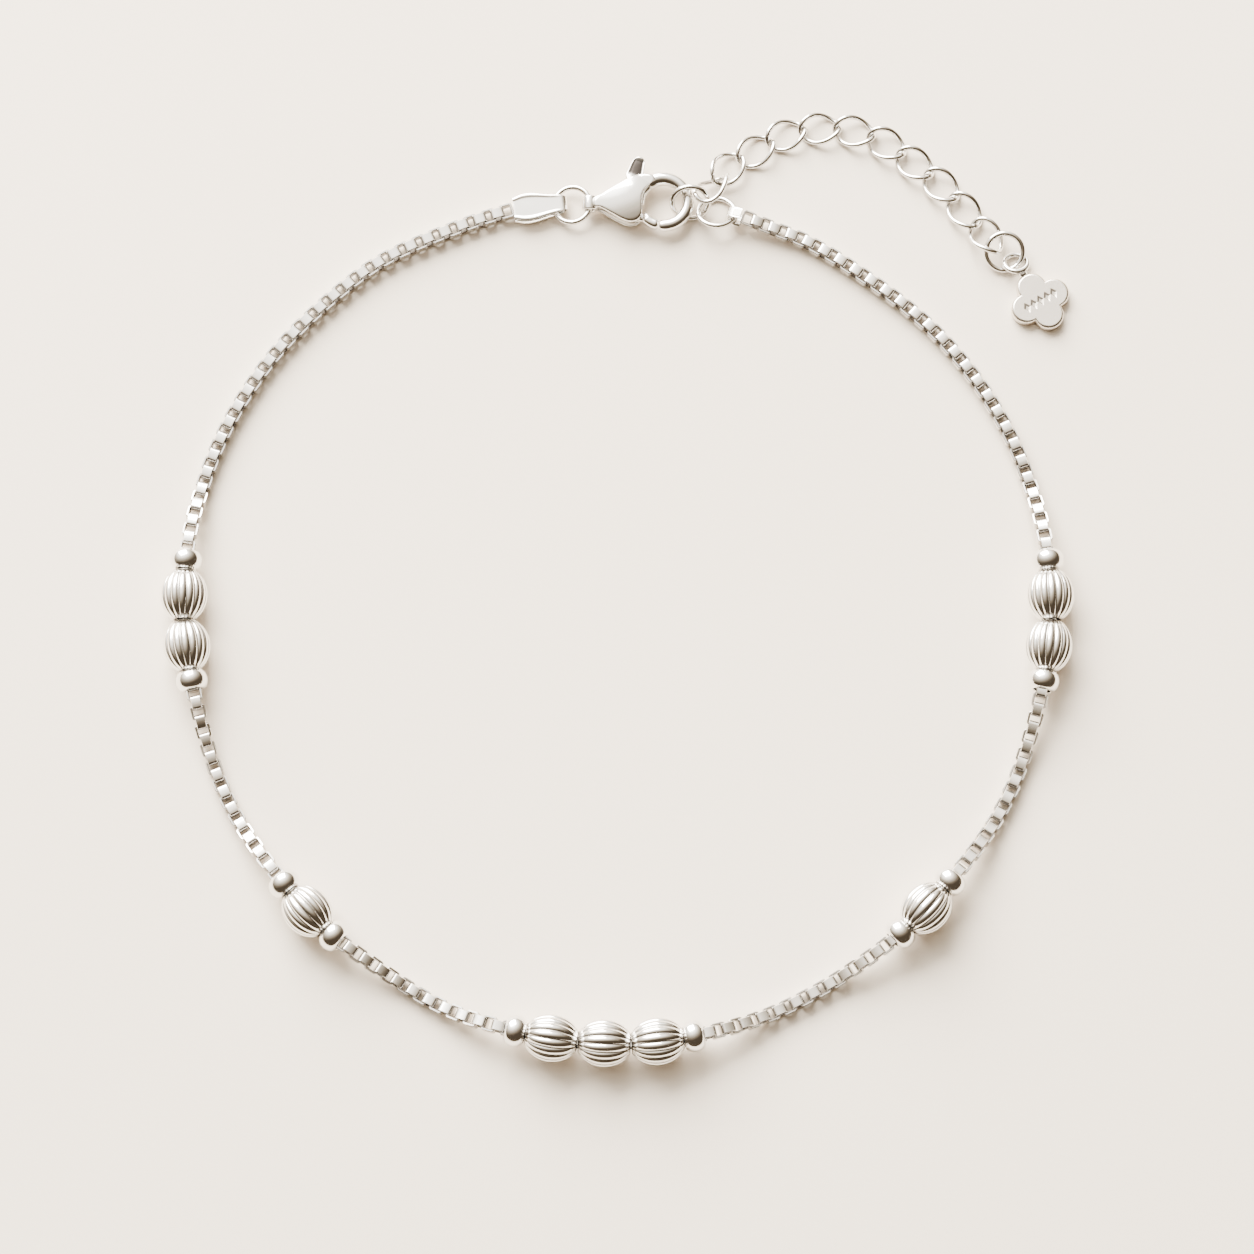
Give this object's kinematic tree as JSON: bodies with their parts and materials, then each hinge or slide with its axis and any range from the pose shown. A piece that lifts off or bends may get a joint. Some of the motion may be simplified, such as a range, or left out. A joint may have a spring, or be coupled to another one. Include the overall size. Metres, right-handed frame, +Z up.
{
  "type": "anklet",
  "caption": "Silver anklet: fluted oval beads and smooth spacers on a box chain, closed by a lobster clasp, with an extender chain that ends in a four-leaved tag.",
  "frame": {"origin": "middle of the footprint, on the surface that the anklet lies on", "axes": "+Z up from that surface, +Y from the three front beads towards the clasp, +X towards the extender's tag"},
  "size_m": [0.0776, 0.0838, 0.004],
  "materials": {
    "bead_silver": "polished silver",
    "chain_silver": "polished silver",
    "ring_silver": "polished silver",
    "clasp_silver": "polished silver",
    "tag_silver": "satin silver"
  },
  "bodies": {
    "root": {"box_chain": "chain_silver", "end_cap_left": "clasp_silver", "end_cap_right": "clasp_silver", "jump_ring_left": "ring_silver", "clasp_ring": "ring_silver", "chain_ring": "ring_silver", "clasp_body": "clasp_silver", "bead_left_1": "bead_silver", "bead_left_2": "bead_silver", "rondelle_left_1": "bead_silver", "rondelle_left_2": "bead_silver", "bead_lower_left_1": "bead_silver", "rondelle_lower_left_1": "bead_silver", "rondelle_lower_left_2": "bead_silver", "bead_bottom_1": "bead_silver", "bead_bottom_2": "bead_silver", "bead_bottom_3": "bead_silver", "rondelle_bottom_1": "bead_silver", "rondelle_bottom_2": "bead_silver", "bead_lower_right_1": "bead_silver", "rondelle_lower_right_1": "bead_silver", "rondelle_lower_right_2": "bead_silver", "bead_right_1": "bead_silver", "bead_right_2": "bead_silver", "rondelle_right_1": "bead_silver", "rondelle_right_2": "bead_silver", "extender_link_01": "chain_silver", "extender_link_02": "chain_silver", "extender_link_03": "chain_silver", "extender_link_04": "chain_silver", "extender_link_05": "chain_silver", "extender_link_06": "chain_silver", "extender_link_07": "chain_silver", "extender_link_08": "chain_silver", "extender_link_09": "chain_silver", "extender_link_10": "chain_silver", "extender_link_11": "chain_silver", "extender_ring": "ring_silver", "clover_tag": "tag_silver"},
    "lever": {"clasp_lever": "clasp_silver"}
  },
  "joints": [
    {"name": "clasp_lever_hinge", "type": "hinge", "parent": "root", "child": "lever", "pos_m": [0.00096, 0.03238, 0.0011], "axis": [0, 0, 1], "range_deg": [0, 20], "stiffness_Nm_per_rad": 0.005}
  ]
}
